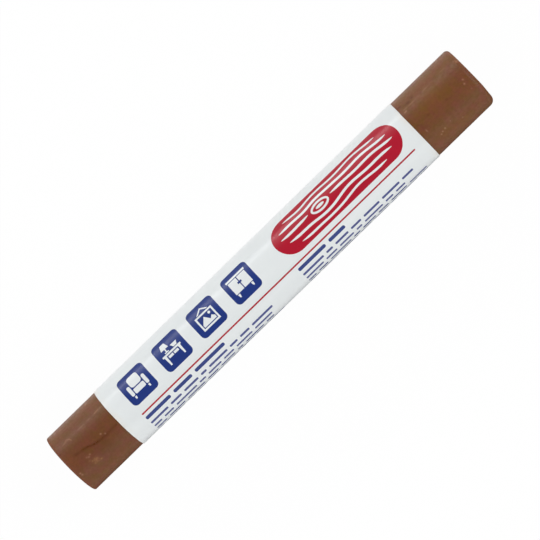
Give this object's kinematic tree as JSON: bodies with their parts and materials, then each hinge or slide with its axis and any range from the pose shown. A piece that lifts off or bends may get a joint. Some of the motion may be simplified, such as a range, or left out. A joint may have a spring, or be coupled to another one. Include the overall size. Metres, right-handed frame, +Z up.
{
  "type": "furniture repair wax stick",
  "caption": "Round stick of hard brown wax for filling scratches and gouges in wood, with a printed paper label wrapped and lapped around its middle.",
  "frame": {"origin": "bottom centre of the part's box: on the table top, under the middle of the stick, which lies on its side", "axes": "+X along the stick towards the moulded end, +Y across it, +Z up from the table; the label's lap is underneath, at -Z"},
  "size_m": [0.1002, 0.013, 0.0132],
  "materials": {
    "wax": "brown hard wax, satin with a soft sheen",
    "paper": "white coated paper, printed outside",
    "glue": "dried label glue, pale amber"
  },
  "bodies": {
    "root": {"wax_stick": "wax", "pickup_glue": "glue", "label": "paper", "lap_glue": "glue"}
  },
  "joints": []
}
